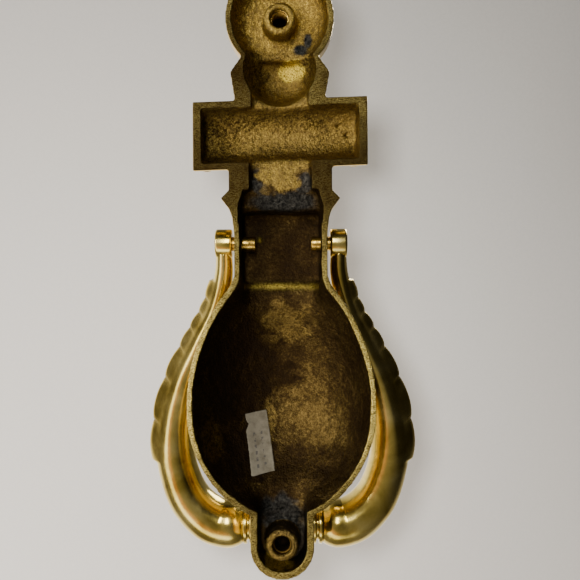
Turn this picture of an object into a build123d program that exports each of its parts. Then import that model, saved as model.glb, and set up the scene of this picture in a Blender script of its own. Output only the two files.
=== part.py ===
from build123d import *
import math
import os

# A cast-brass door knocker. The back plane, which lies on the door, is y = 0, the front faces -Y and
# +Z is up. The origin is on the back plane, halfway between the two fixing holes. Millimetres.

os.makedirs("parts", exist_ok=True)

# Fixing bosses and their holes
HOLE_SPACING = 176.0
HOLE_R = 3.0
HOLE_DEPTH = 8.5
DRILL_POINT = 1.8
BOSS_R = 5.6

# Walls of the hollow casting
WALL = 2.0
BODY_WALL = 1.9

# Top disc
DISC_Z = 88.3
DISC_R = 18.2
DISC_EDGE_DEPTH = 6.5
DISC_STEP_R = 14.0
DISC_STEP_DEPTH = 9.5
DISC_DOME_R = 9.0
DISC_DEPTH = 12.5

# Ball knop under the disc, half of a turned shape
KNOP_TOP_Z = 75.0
KNOP_TOP_R = 13.2
KNOP_NECK_Z = 81.0
KNOP_NECK_R = 11.0
KNOP_END_Z = 84.5
KNOP_Z = 70.0
KNOP_R = 16.7
KNOP_FOOT_Z = 62.0
KNOP_FOOT_R = 15.3
KNOP_FOOT_END_Z = 58.0
KNOP_CAVITY_Z = 71.3
KNOP_CAVITY_R = 12.0
KNOP_CAVITY_Y = -0.5
KNOP_CAVITY_TOP_Z = 76.2

# Low saddle in the wall between the knop's hollow and the bar's
SADDLE_HALF_WIDTH = 9.5
SADDLE_DEPTH = 1.8

# Wide bar, half of a drum that lies across
BAR_Z = 49.5
BAR_R = 11.5
BAR_HALF_WIDTH = 29.3
BAR_CAVITY_R = 9.0
BAR_CAVITY_HALF_WIDTH = 26.3
BAR_BAND_WIDTH = 2.4
BAR_BAND_R = 12.3
BAR_BAND_X = 25.0
BAR_BAND_BACK_Y = -4.8

# Short neck under the bar
COLLAR_HALF_WIDTH = 17.3
COLLAR_DEPTH = 9.0
COLLAR_BOTTOM_Z = 30.7
COLLAR_CAVITY_HALF_WIDTH = 10.3
COLLAR_CAVITY_DEPTH = 3.5

# Cornice and pivot neck: each level is (z, half width, depth)
CORNICE_LEVELS = [
    (COLLAR_BOTTOM_Z, 17.3, 15.0),
    (28.0, 20.0, 19.8),
    (24.3, 17.2, 18.2),
    (21.7, 16.3, 17.4),
    (16.0, 15.6, 16.5),
]
# Its hollow slopes from the first depth to the second, then drops to the cove
LEDGE_TOP_DEPTH = 4.2
LEDGE_TOP_HALF_WIDTH = 12.5
LEDGE_BOTTOM_DEPTH = 7.6
LEDGE_BOTTOM_HALF_WIDTH = 14.4
COVE_BOTTOM_Z = 19.4
COVE_DEPTH = 15.4
COVE_HALF_WIDTH = 13.9
NECK_HALF_WIDTH = 15.6
NECK_DEPTH = 16.5
NECK_TOP_Z = 24.3
NECK_BOTTOM_Z = -3.2
NECK_CORNER_R = 2.5

# Egg-shaped body: turned about a line behind the back plane, so that only its front part shows
BODY_Z = -42.5
BODY_HALF_WIDTH = 31.9
BODY_DEPTH = 24.0
BODY_SHOULDER_R = 68.0
BODY_BOWL_R = 42.5
BODY_THROAT_R = 12.0
BODY_LIP_DEPTH = 13.6
BODY_LIP_HALF_WIDTH = 14.6
BODY_LIP_BOTTOM_Z = -8.0

# Round-ended foot lug and the pad that the knocker strikes
LUG_HALF_WIDTH = 10.7
LUG_END_Z = -88.7
LUG_TOP_Z = -70.0
LUG_DEPTH = 11.0
LUG_WALL = 2.6
PAD_R = 7.2
PAD_FACE = -13.5
STRIKE_GAP = 0.25

# Pivot
PIVOT_Y = -11.0
PIVOT_Z = 13.5
PIN_R = 2.5
PIN_CLEARANCE = 0.06
PIN_STUB_LEFT = 4.8
PIN_STUB_RIGHT = 3.2
EYE_R = 5.2
EYE_INNER_X = 17.0
EYE_OUTER_X = 22.9

# Knocker: the middle line of the arm on the +X side, from the eye to the collar. Each station is
# the centre (x, y, z), the half width in the plane of the plate and the half thickness.
ARM_STATIONS = [
    ((20.0, -11.0, 12.0), 2.8, 3.9),
    ((20.2, -12.6, 4.0), 3.2, 4.5),
    ((23.0, -15.2, -8.0), 3.9, 5.0),
    ((29.3, -17.6, -22.0), 5.3, 5.9),
    ((36.0, -19.2, -38.0), 6.4, 6.5),
    ((39.2, -20.2, -53.0), 6.9, 6.9),
    ((38.0, -20.8, -68.0), 7.2, 7.3),
    ((32.3, -21.0, -80.8), 7.9, 7.8),
    ((24.0, -21.0, -87.2), 8.5, 8.1),
    ((17.0, -21.0, -88.0), 8.0, 7.8),
    ((13.6, -21.0, -87.9), 6.0, 6.0),
]

# Leaf edge: the notches between the lobes, down the outside of the arm, as (x, z)
LEAF_NOTCHES = [
    (23.4, 1.0),
    (26.6, -6.5),
    (30.1, -12.5),
    (33.2, -18.5),
    (36.9, -25.6),
    (42.3, -36.3),
    (45.8, -50.4),
    (44.6, -64.0),
]
LEAF_BULGE = 0.13
LEAF_BACK_Y = -15.4
LEAF_THICKNESS = 4.4

# Striking boss between the two crescents, turned about a line along X
STRIKER_Y = -21.0
STRIKER_Z = -87.9
STRIKER_R = 9.4
STRIKER_HALF_WIDTH = 9.8
RIB_R = 7.2
RIB_GROOVE_R = 5.8
RIB_WIDTH = 1.3
ANVIL_R = 6.0

# Torn paper label on the floor of the body
LABEL_CENTRE = (8.4, -57.2)
LABEL_WIDTH = 8.3
LABEL_LENGTH = 20.6
LABEL_TILT = -9.0
LABEL_TEAR = 1.1
LABEL_GAP = 0.02
LABEL_THICKNESS = 0.2

# Far larger than the object, for cutting
SPACE = 400.0


def box_between(x0, x1, y0, y1, z0, z1):
    """A box given by its faces."""
    size = Box(x1 - x0, y1 - y0, z1 - z0)
    return Pos((x0 + x1) / 2, (y0 + y1) / 2, (z0 + z1) / 2) * size


def front_block(half_width, depth, z0, z1):
    """A block that stands forward from the back plane."""
    return box_between(-half_width, half_width, -depth, 0, z0, z1)


def turned_about_z(profile):
    """A turned solid from a closed outline in x and z."""
    return revolve(Plane.XZ * make_face(profile), Axis.Z)


def turned_about_y(points, z):
    """A turned solid from corners (radius, y), on an axis along Y at height z."""
    outline = Polyline(*points, close=True)
    return Pos(0, 0, z) * revolve(make_face(outline), Axis.Y)


# Backplate: outer forms


def disc():
    """Stepped disc with a low domed button in its middle."""
    steps = turned_about_y(
        [
            (0, 0),
            (DISC_R, 0),
            (DISC_R, -DISC_EDGE_DEPTH),
            (DISC_STEP_R, -DISC_STEP_DEPTH),
            (0, -DISC_STEP_DEPTH),
        ],
        DISC_Z,
    )
    rise = DISC_DEPTH - DISC_STEP_DEPTH
    dome_r = (DISC_DOME_R**2 + rise**2) / (2 * rise)
    dome = Pos(0, dome_r - DISC_DEPTH, DISC_Z) * Sphere(dome_r)
    keep = Pos(0, -DISC_STEP_DEPTH, DISC_Z) * Rot(90, 0, 0) * Cylinder(DISC_DOME_R, 2 * rise)
    return steps + (dome & keep)


def knop():
    """Turned knop with a waist that runs on to the disc and a foot on the bar."""
    outline = Polyline(
        (0, KNOP_END_Z),
        (KNOP_NECK_R, KNOP_NECK_Z),
        (KNOP_TOP_R, KNOP_TOP_Z),
        (KNOP_R, KNOP_Z),
        (KNOP_FOOT_R, KNOP_FOOT_Z),
        (KNOP_FOOT_R, KNOP_FOOT_END_Z),
        (0, KNOP_FOOT_END_Z),
        close=True,
    )
    return turned_about_z(outline)


def bar():
    """Half drum across the plate, with a raised band near each end of its front."""
    lie_across = Pos(0, 0, BAR_Z) * Rot(0, 90, 0)
    drum = lie_across * Cylinder(BAR_R, 2 * BAR_HALF_WIDTH)
    front_only = box_between(-SPACE, SPACE, -SPACE, BAR_BAND_BACK_Y, -SPACE, SPACE)
    for x in (BAR_BAND_X, -BAR_BAND_X):
        band = Pos(x, 0, 0) * lie_across * Cylinder(BAR_BAND_R, BAR_BAND_WIDTH)
        drum += band & front_only
    return drum


def stepped(levels):
    """Straight-sided steps between rectangles, each level being (z, half width, depth)."""
    steps = []
    for upper, lower in zip(levels, levels[1:]):
        faces = []
        for z, half_width, depth in (upper, lower):
            faces.append(Pos(0, 0, z) * Rectangle(2 * half_width, 2 * depth))
        steps.append(loft(faces, ruled=True))
    return Part() + steps


def pivot_neck():
    """Straight-sided housing that carries the pivot pins."""
    block = front_block(NECK_HALF_WIDTH, NECK_DEPTH, NECK_BOTTOM_Z, NECK_TOP_Z)
    front_edges = block.edges().filter_by(Axis.Z).group_by(Axis.Y)[0]
    return fillet(front_edges, NECK_CORNER_R)


def body_form(inset):
    """Egg that flares from the neck, smaller all over by the inset."""
    axis_y = (BODY_HALF_WIDTH**2 - BODY_DEPTH**2) / (2 * BODY_DEPTH)
    widest = BODY_DEPTH + axis_y
    throat = math.hypot(NECK_HALF_WIDTH, axis_y)

    # The shoulder and throat arcs meet on the line between their centres
    shoulder_x = widest - BODY_SHOULDER_R
    throat_x = throat + BODY_THROAT_R
    reach = BODY_SHOULDER_R + BODY_THROAT_R
    angle = math.acos((throat_x - shoulder_x) / reach)
    throat_z = BODY_Z + reach * math.sin(angle)

    shoulder_r = BODY_SHOULDER_R - inset
    bowl_r = BODY_BOWL_R - inset
    bowl_x = widest - BODY_BOWL_R
    bottom_angle = math.acos(-bowl_x / bowl_r)
    lift = math.degrees(angle)
    bowl = CenterArc((bowl_x, BODY_Z), bowl_r, -math.degrees(bottom_angle), math.degrees(bottom_angle))
    shoulder = CenterArc((shoulder_x, BODY_Z), shoulder_r, 0, lift)
    flare = CenterArc((throat_x, throat_z), BODY_THROAT_R + inset, 180 + lift, -lift)
    closing = Polyline(flare @ 1, (0, throat_z), bowl @ 0)
    egg = turned_about_z(Curve() + [bowl, shoulder, flare, closing])
    return Pos(0, axis_y, 0) * egg


def lug_outline(inset):
    """Round-ended outline of the foot lug, smaller all round by the inset."""
    half_width = LUG_HALF_WIDTH - inset
    middle = Pos(0, (LUG_TOP_Z + LUG_END_Z) / 2) * Rectangle(2 * half_width, LUG_TOP_Z - LUG_END_Z)
    return middle + Pos(0, LUG_END_Z) * Circle(half_width)


def lug():
    """Foot lug with a round pad on its front."""
    block = extrude(Plane.XZ * lug_outline(0), LUG_DEPTH)
    pad_length = -PAD_FACE
    pad = Pos(0, PAD_FACE / 2, LUG_END_Z) * Rot(90, 0, 0) * Cylinder(PAD_R, pad_length)
    return block + pad


# Backplate: hollows from behind


def disc_hollow():
    cavity_depth = DISC_STEP_DEPTH - WALL
    return turned_about_y(
        [
            (0, 0),
            (DISC_R - WALL, 0),
            (DISC_R - WALL - 0.8, -DISC_EDGE_DEPTH + WALL),
            (DISC_STEP_R - WALL, -cavity_depth),
            (0, -cavity_depth),
        ],
        DISC_Z,
    )


def knop_hollow():
    """Half ball, cut off under the floor of the disc, and the saddle that leads to the bar."""
    ball = Pos(0, KNOP_CAVITY_Y, KNOP_CAVITY_Z) * Sphere(KNOP_CAVITY_R)
    ball &= box_between(-SPACE, SPACE, -SPACE, SPACE, -SPACE, KNOP_CAVITY_TOP_Z)
    return ball + front_block(SADDLE_HALF_WIDTH, SADDLE_DEPTH, BAR_Z, KNOP_CAVITY_Z - WALL)


def bar_hollow():
    drum = Cylinder(BAR_CAVITY_R, 2 * BAR_CAVITY_HALF_WIDTH)
    return Pos(0, 0, BAR_Z) * Rot(0, 90, 0) * drum


def neck_hollows():
    """Recess of the short neck, slope behind the cornice, cove, pivot neck and lip of the body."""
    recess = front_block(COLLAR_CAVITY_HALF_WIDTH, COLLAR_CAVITY_DEPTH, COLLAR_BOTTOM_Z, BAR_Z)
    slope = stepped(
        [
            (COLLAR_BOTTOM_Z, LEDGE_TOP_HALF_WIDTH, LEDGE_TOP_DEPTH),
            (NECK_TOP_Z, LEDGE_BOTTOM_HALF_WIDTH, LEDGE_BOTTOM_DEPTH),
        ]
    )
    cove = front_block(COVE_HALF_WIDTH, COVE_DEPTH, COVE_BOTTOM_Z, NECK_TOP_Z)
    deep = front_block(
        NECK_HALF_WIDTH - WALL, NECK_DEPTH - WALL, NECK_BOTTOM_Z + WALL, COVE_BOTTOM_Z
    )
    lip = front_block(
        BODY_LIP_HALF_WIDTH - WALL, BODY_LIP_DEPTH - WALL, BODY_LIP_BOTTOM_Z, NECK_BOTTOM_Z + WALL
    )
    return recess + slope + cove + deep + lip


def lug_hollow():
    floor = LUG_DEPTH - WALL
    return extrude(Plane.XZ * lug_outline(LUG_WALL), floor)


def fixing_boss(z, floor_depth):
    """Tapped boss that stands on the floor of a hollow."""
    length = floor_depth + WALL / 2
    return Pos(0, -length / 2, z) * Rot(90, 0, 0) * Cylinder(BOSS_R, length)


def fixing_hole(z):
    """Threaded hole, plain at the thread's outside radius, with the drill's point at its end."""
    return turned_about_y(
        [
            (0, 0),
            (HOLE_R, 0),
            (HOLE_R, -HOLE_DEPTH),
            (0, -HOLE_DEPTH - DRILL_POINT),
        ],
        z,
    )


def pivot_hole():
    """Running hole through both side walls of the pivot neck."""
    drill = Cylinder(PIN_R + PIN_CLEARANCE, 2 * NECK_HALF_WIDTH + 2)
    return Pos(0, PIVOT_Y, PIVOT_Z) * Rot(0, 90, 0) * drill


def backplate():
    """The hollow casting that is bolted to the door."""
    collar = front_block(COLLAR_HALF_WIDTH, COLLAR_DEPTH, COLLAR_BOTTOM_Z, BAR_Z)
    lip = front_block(BODY_LIP_HALF_WIDTH, BODY_LIP_DEPTH, BODY_LIP_BOTTOM_Z, NECK_BOTTOM_Z)
    solid = disc() + knop() + bar() + collar + stepped(CORNICE_LEVELS) + pivot_neck() + lip
    solid += body_form(0)
    solid += lug()
    hollow = disc_hollow() + knop_hollow() + bar_hollow() + neck_hollows()
    hollow += body_form(BODY_WALL)
    hollow += lug_hollow()
    shell = solid - hollow
    top_z = HOLE_SPACING / 2
    for z, floor_depth in ((top_z, DISC_STEP_DEPTH - WALL), (-top_z, LUG_DEPTH - WALL)):
        shell += fixing_boss(z, floor_depth)
        shell -= fixing_hole(z)
    shell -= pivot_hole()
    front_half = box_between(-SPACE, SPACE, -SPACE, 0, -SPACE, SPACE)
    return shell & front_half


# Knocker


def arm():
    """One arm and crescent on the +X side, lofted through ellipses."""
    centres = [Vector(*centre) for centre, half_width, half_thickness in ARM_STATIONS]
    sections = []
    last = len(centres) - 1
    for index, (centre, half_width, half_thickness) in enumerate(ARM_STATIONS):
        before = centres[max(index - 1, 0)]
        after = centres[min(index + 1, last)]
        along = (after - before).normalized()
        if index == last:
            along = Vector(-1, 0, 0)
        across = along.cross(Vector(0, 1, 0)).normalized()
        plane = Plane(origin=Vector(*centre), x_dir=across, z_dir=along)
        sections.append(plane * Ellipse(half_width, half_thickness))
    return loft(sections)


def leaf_edge():
    """Blade with a scalloped outer edge that stands out from the arm."""
    lobes = []
    for (x0, z0), (x1, z1) in zip(LEAF_NOTCHES, LEAF_NOTCHES[1:]):
        out_x = -(z1 - z0) * LEAF_BULGE
        out_z = (x1 - x0) * LEAF_BULGE
        crest = (0.45 * x0 + 0.55 * x1 + out_x, 0.45 * z0 + 0.55 * z1 + out_z)
        lobes.append(ThreePointArc((x0, z0), crest, (x1, z1)))
    inner = []
    for (x, y, z), half_width, half_thickness in ARM_STATIONS[1:7]:
        inner.append((x, z))
    back = Polyline(LEAF_NOTCHES[-1], *reversed(inner), LEAF_NOTCHES[0])
    face = make_face(Curve() + lobes + back)
    blade = extrude(Plane.XZ * face, LEAF_THICKNESS)
    return Pos(0, LEAF_BACK_Y, 0) * blade


def eye():
    width = EYE_OUTER_X - EYE_INNER_X
    middle_x = (EYE_OUTER_X + EYE_INNER_X) / 2
    disc_shape = Cylinder(EYE_R, width)
    disc_shape = fillet(disc_shape.edges().filter_by(GeomType.CIRCLE), 0.6)
    return Pos(middle_x, PIVOT_Y, PIVOT_Z) * Rot(0, 90, 0) * disc_shape


def eye_hole():
    """Hole in which the pin is pressed."""
    return Pos(0, PIVOT_Y, PIVOT_Z) * Rot(0, 90, 0) * Cylinder(PIN_R, 2 * EYE_OUTER_X + 2)


def striker():
    """Turned boss with two ribs at each end, and the flat anvil that meets the pad."""
    end = STRIKER_HALF_WIDTH + 3.4 * RIB_WIDTH
    right = Polyline(
        (0, 0),
        (end, 0),
        (end, RIB_R),
        (end - RIB_WIDTH, RIB_R),
        (end - RIB_WIDTH, RIB_GROOVE_R),
        (end - 1.7 * RIB_WIDTH, RIB_GROOVE_R),
        (end - 1.7 * RIB_WIDTH, RIB_R),
        (end - 2.7 * RIB_WIDTH, RIB_R),
        (end - 2.7 * RIB_WIDTH, RIB_GROOVE_R),
        (0, RIB_GROOVE_R),
        close=True,
    )
    ribs = revolve(make_face(right), Axis.X)
    ball = scale(Sphere(STRIKER_R), by=(STRIKER_HALF_WIDTH / STRIKER_R, 1, 1))
    turned = Pos(0, STRIKER_Y, STRIKER_Z) * (ball + ribs + mirror(ribs, Plane.YZ))
    face_y = PAD_FACE - STRIKE_GAP
    length = face_y - STRIKER_Y
    anvil = Pos(0, (face_y + STRIKER_Y) / 2, STRIKER_Z) * Rot(90, 0, 0) * Cylinder(ANVIL_R, length)
    back_limit = box_between(-SPACE, SPACE, -SPACE, face_y, -SPACE, SPACE)
    return (turned + anvil) & back_limit


def knocker():
    """The swinging handle casting."""
    side = arm() + leaf_edge() + eye()
    whole = side + mirror(side, Plane.YZ) + striker()
    return whole - eye_hole()


def pivot_pin(side, stub):
    """Short pin from the outside of an eye to its end inside the neck; side is +1 or -1."""
    outer_x = EYE_OUTER_X - 0.3
    inner_x = NECK_HALF_WIDTH - WALL - stub
    length = outer_x - inner_x
    pin = Cylinder(PIN_R, length)
    pin = chamfer(pin.edges().filter_by(GeomType.CIRCLE), 0.4)
    middle_x = side * (outer_x + inner_x) / 2
    return Pos(middle_x, PIVOT_Y, PIVOT_Z) * Rot(0, 90, 0) * pin


# Label


def label():
    """Thin torn sheet that follows the floor of the body."""
    half_width = LABEL_WIDTH / 2
    half_length = LABEL_LENGTH / 2
    corners = [
        (-half_width, half_length),
        (half_width, half_length - 0.6),
        (half_width - LABEL_TEAR, half_length * 0.55),
        (half_width, half_length * 0.35),
        (half_width, -half_length),
        (-half_width, -half_length + 0.4),
    ]
    sheet = Pos(*LABEL_CENTRE) * Rot(0, 0, LABEL_TILT) * make_face(Polyline(*corners, close=True))
    column = extrude(Plane.XZ * sheet, BODY_HALF_WIDTH)
    outside = body_form(BODY_WALL + LABEL_GAP)
    inside = body_form(BODY_WALL + LABEL_GAP + LABEL_THICKNESS)
    return (outside & column) - inside


export_step(backplate(), "parts/backplate.step")
export_step(knocker(), "parts/knocker.step")
export_step(pivot_pin(1, PIN_STUB_LEFT), "parts/pivot_pin_left.step")
export_step(pivot_pin(-1, PIN_STUB_RIGHT), "parts/pivot_pin_right.step")
export_step(label(), "parts/label.step")
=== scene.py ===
import math

import bmesh
import bpy
import numpy as np
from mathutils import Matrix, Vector
from mathutils.bvhtree import BVHTree


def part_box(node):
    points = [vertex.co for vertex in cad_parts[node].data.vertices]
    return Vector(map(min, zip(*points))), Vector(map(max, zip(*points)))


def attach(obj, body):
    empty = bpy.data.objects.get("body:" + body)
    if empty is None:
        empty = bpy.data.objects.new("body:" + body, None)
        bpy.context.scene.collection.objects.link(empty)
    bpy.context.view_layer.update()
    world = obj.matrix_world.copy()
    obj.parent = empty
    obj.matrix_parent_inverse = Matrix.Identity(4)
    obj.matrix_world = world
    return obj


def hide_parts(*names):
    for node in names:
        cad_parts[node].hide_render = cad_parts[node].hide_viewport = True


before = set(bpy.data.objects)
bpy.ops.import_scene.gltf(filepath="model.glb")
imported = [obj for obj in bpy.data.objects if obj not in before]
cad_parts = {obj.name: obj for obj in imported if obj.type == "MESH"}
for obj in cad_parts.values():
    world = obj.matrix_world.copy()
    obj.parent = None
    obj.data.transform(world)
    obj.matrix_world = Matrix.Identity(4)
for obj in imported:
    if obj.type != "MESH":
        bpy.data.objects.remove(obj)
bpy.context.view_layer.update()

MM = 0.001

# The casting is remeshed at this size before its surface is worked
CAST_VOXEL = 0.42 * MM

# Places on the part, in millimetres, as the CAD model has them
HOLE_Z = 88.0
HOLE_R = 3.0
HOLE_BOTTOM_Y = -8.3
HOLE_MOUTH_Y = -0.9
THREAD_PITCH = 1.0
THREAD_HEIGHT = 0.42
PIVOT_Y = -11.0
PIVOT_Z = 13.5
PIN_R = 2.5
EYE_R = 5.2
EYE_INNER_X = 17.0
EYE_OUTER_X = 22.9
STRIKER_Y = -21.0
STRIKER_Z = -87.9
STRIKER_R = 9.4
STRIKER_HALF_WIDTH = 9.8
ANVIL_R = 6.0
BAR_Z = 49.5
BAR_SLOPE = -0.031
ANVIL_FACE_Y = -13.75
RIB_R = 7.2
RIB_GROOVE_R = 5.8
RIB_WIDTH = 1.3

# Middle line of one arm: centre (x, y, z), half width, half thickness
ARM_STATIONS = [
    (20.0, -11.0, 10.6, 2.8, 3.9),
    (20.2, -12.6, 4.0, 3.2, 4.5),
    (23.0, -15.2, -8.0, 3.9, 5.0),
    (29.3, -17.6, -22.0, 5.3, 5.9),
    (36.0, -19.2, -38.0, 6.4, 6.5),
    (39.2, -20.2, -53.0, 6.9, 6.9),
    (38.0, -20.8, -68.0, 7.2, 7.3),
    (32.3, -21.0, -80.8, 7.9, 7.8),
    (24.0, -21.0, -87.2, 8.5, 8.1),
    (17.0, -21.0, -88.0, 8.0, 7.8),
    (13.6, -21.0, -87.9, 6.0, 6.0),
]

# Heights of the notches between the lobes of the leaf
LEAF_NOTCH_Z = [1.0, -6.5, -12.5, -18.5, -25.6, -36.3, -50.4, -64.0]

# Torn label on the floor of the body
LABEL_CENTRE = (8.4, -57.2)
LABEL_WIDTH = 8.3
LABEL_LENGTH = 20.6
LABEL_TILT = math.radians(-9.0)


# Backdrop paper, in metres: far enough back for the handle at its forward limit
PAPER_Y = -0.135
PAPER_HALF = 0.6

# Camera, in metres
CAMERA_PLACE = (-0.003, 0.210, -0.0027)
CAMERA_ANGLE = math.radians(49.4)
CAMERA_ROLL = math.radians(0.3)


# Mesh helpers


def mesh_piece(name, vertices, faces, body, slot, material, node=None):
    """A smooth-shaded piece from millimetre coordinates that rides on a body."""
    mesh = bpy.data.meshes.new(name)
    mesh.from_pydata([tuple(v) for v in np.asarray(vertices, dtype=float) * MM], [], faces)
    mesh.validate()
    mesh.shade_smooth()
    piece = bpy.data.objects.new(name, mesh)
    bpy.context.scene.collection.objects.link(piece)
    mesh.materials.append(material)
    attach(piece, body)
    if node:
        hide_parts(node)
    return piece


def grid_faces(rows, columns, wrap):
    """Quads of a grid of rows by columns; wrap joins the last column to the first."""
    faces = []
    for row in range(rows - 1):
        for column in range(columns if wrap else columns - 1):
            after = (column + 1) % columns
            faces.append(
                (
                    row * columns + column,
                    row * columns + after,
                    (row + 1) * columns + after,
                    (row + 1) * columns + column,
                )
            )
    return faces


def joined(parts):
    """One list of vertices and faces from several."""
    vertices = []
    faces = []
    for part_vertices, part_faces in parts:
        offset = len(vertices)
        vertices.extend(tuple(v) for v in part_vertices)
        faces.extend(tuple(index + offset for index in face) for face in part_faces)
    return vertices, faces


def coordinates(mesh):
    """Vertex coordinates in millimetres as an array."""
    flat = np.empty(len(mesh.vertices) * 3, dtype=np.float32)
    mesh.vertices.foreach_get("co", flat)
    return flat.reshape(-1, 3).astype(float) / MM


def set_coordinates(mesh, points):
    mesh.vertices.foreach_set("co", (points * MM).astype(np.float32).ravel())
    mesh.update()


def vertex_normals(mesh):
    flat = np.empty(len(mesh.vertices) * 3, dtype=np.float32)
    mesh.vertex_normals.foreach_get("vector", flat)
    return flat.reshape(-1, 3).astype(float)


def edge_pairs(mesh):
    flat = np.empty(len(mesh.edges) * 2, dtype=np.int32)
    mesh.edges.foreach_get("vertices", flat)
    return flat.reshape(-1, 2)


def relaxed(values, pairs, rounds, weight):
    """Values moved towards the mean of their neighbours; weight is one number per vertex."""
    values = np.array(values, dtype=float)
    flat = values.ndim == 1
    if flat:
        values = values[:, None]
    count = len(values)
    degree = np.bincount(pairs.ravel(), minlength=count).clip(1)[:, None]
    weight = np.broadcast_to(np.asarray(weight, dtype=float), (count,))[:, None]
    for _ in range(rounds):
        total = np.empty_like(values)
        for axis in range(values.shape[1]):
            column = values[:, axis]
            total[:, axis] = np.bincount(pairs[:, 0], column[pairs[:, 1]], count)
            total[:, axis] += np.bincount(pairs[:, 1], column[pairs[:, 0]], count)
        values = values + weight * (total / degree - values)
    return values[:, 0] if flat else values


def lattice(cells, seed):
    """A repeatable number from 0 to 1 for each integer cell."""
    mixed = cells[..., 0] * 73856093 ^ cells[..., 1] * 19349663 ^ cells[..., 2] * 83492791
    mixed = (mixed ^ (seed * 668265263)) & 0xFFFFFFFF
    mixed = ((mixed ^ (mixed >> 15)) * 2246822519) & 0xFFFFFFFF
    mixed = ((mixed ^ (mixed >> 13)) * 3266489917) & 0xFFFFFFFF
    return ((mixed ^ (mixed >> 16)) & 0xFFFF) / 65535.0


def noise(points, size, seed):
    """Smooth noise from -1 to 1; size is its grain in millimetres, one number or one per axis."""
    scaled = points / np.asarray(size, dtype=float)
    base = np.floor(scaled).astype(np.int64)
    part = scaled - base
    part = part * part * (3 - 2 * part)
    total = np.zeros(len(points))
    for corner in range(8):
        step = np.array([corner & 1, corner >> 1 & 1, corner >> 2 & 1])
        share = np.where(step, part, 1 - part).prod(axis=1)
        total += share * lattice(base + step, seed)
    return 2 * total - 1


def patch(points, centre, radii, seed=0, ragged=0.25):
    """1 inside an ellipsoid in millimetres, falling to 0 past its ragged edge."""
    reach = np.linalg.norm((points - np.array(centre)) / np.array(radii), axis=1)
    reach = reach + ragged * noise(points, 3.0, seed) + 0.4 * ragged * noise(points, 1.1, seed + 1)
    return np.clip((1.15 - reach) / 0.3, 0, 1)


# Material helpers


class Nodes:
    """Short calls for building a material's node tree."""

    def __init__(self, name):
        self.material = bpy.data.materials.new(name)
        self.material.use_nodes = True
        self.tree = self.material.node_tree
        self.shader = self.tree.nodes["Principled BSDF"]
        self.place = self.tree.nodes.new("ShaderNodeTexCoord").outputs["Object"]

    def link(self, output, target):
        self.tree.links.new(output, target)

    def fill(self, target, value):
        if isinstance(value, bpy.types.NodeSocket):
            self.link(value, target)
        else:
            target.default_value = value

    def stretched(self, scale, turn=(0, 0, 0)):
        node = self.tree.nodes.new("ShaderNodeMapping")
        node.inputs["Scale"].default_value = scale
        node.inputs["Rotation"].default_value = turn
        self.link(self.place, node.inputs["Vector"])
        return node.outputs["Vector"]

    def noise(self, per_metre, detail=4.0, rough=0.55, place=None, distort=0.0):
        node = self.tree.nodes.new("ShaderNodeTexNoise")
        node.inputs["Scale"].default_value = per_metre
        node.inputs["Detail"].default_value = detail
        node.inputs["Roughness"].default_value = rough
        node.inputs["Distortion"].default_value = distort
        self.link(place or self.place, node.inputs["Vector"])
        return node.outputs["Fac"]

    def cells(self, per_metre, place=None):
        node = self.tree.nodes.new("ShaderNodeTexVoronoi")
        node.inputs["Scale"].default_value = per_metre
        self.link(place or self.place, node.inputs["Vector"])
        return node.outputs["Distance"]

    def attribute(self, name):
        node = self.tree.nodes.new("ShaderNodeAttribute")
        node.attribute_name = name
        return node.outputs["Fac"]

    def ramp(self, factor, stops):
        node = self.tree.nodes.new("ShaderNodeValToRGB")
        ramp = node.color_ramp
        while len(ramp.elements) < len(stops):
            ramp.elements.new(0.5)
        for element, (position, colour) in zip(ramp.elements, stops):
            element.position = position
            if isinstance(colour, (int, float)):
                colour = (colour, colour, colour)
            element.color = (*colour, 1)
        self.link(factor, node.inputs["Fac"])
        return node.outputs["Color"]

    def mix(self, factor, first, second):
        node = self.tree.nodes.new("ShaderNodeMix")
        node.data_type = "RGBA"
        self.fill(node.inputs[0], factor)
        for socket, value in ((node.inputs[6], first), (node.inputs[7], second)):
            if isinstance(value, tuple):
                value = (*value, 1)
            self.fill(socket, value)
        return node.outputs[2]

    def math(self, operation, first, second=0.0, clamp=False):
        node = self.tree.nodes.new("ShaderNodeMath")
        node.operation = operation
        node.use_clamp = clamp
        self.fill(node.inputs[0], first)
        self.fill(node.inputs[1], second)
        return node.outputs[0]

    def bump(self, height, distance, strength=1.0, below=None):
        node = self.tree.nodes.new("ShaderNodeBump")
        node.inputs["Distance"].default_value = distance
        self.fill(node.inputs["Strength"], strength)
        self.link(height, node.inputs["Height"])
        if below:
            self.link(below, node.inputs["Normal"])
        return node.outputs["Normal"]

    def finish(self, colour, roughness, normal=None, metallic=1.0):
        self.fill(self.shader.inputs["Base Color"], colour)
        self.fill(self.shader.inputs["Roughness"], roughness)
        self.fill(self.shader.inputs["Metallic"], metallic)
        if normal:
            self.link(normal, self.shader.inputs["Normal"])
        return self.material


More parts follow.
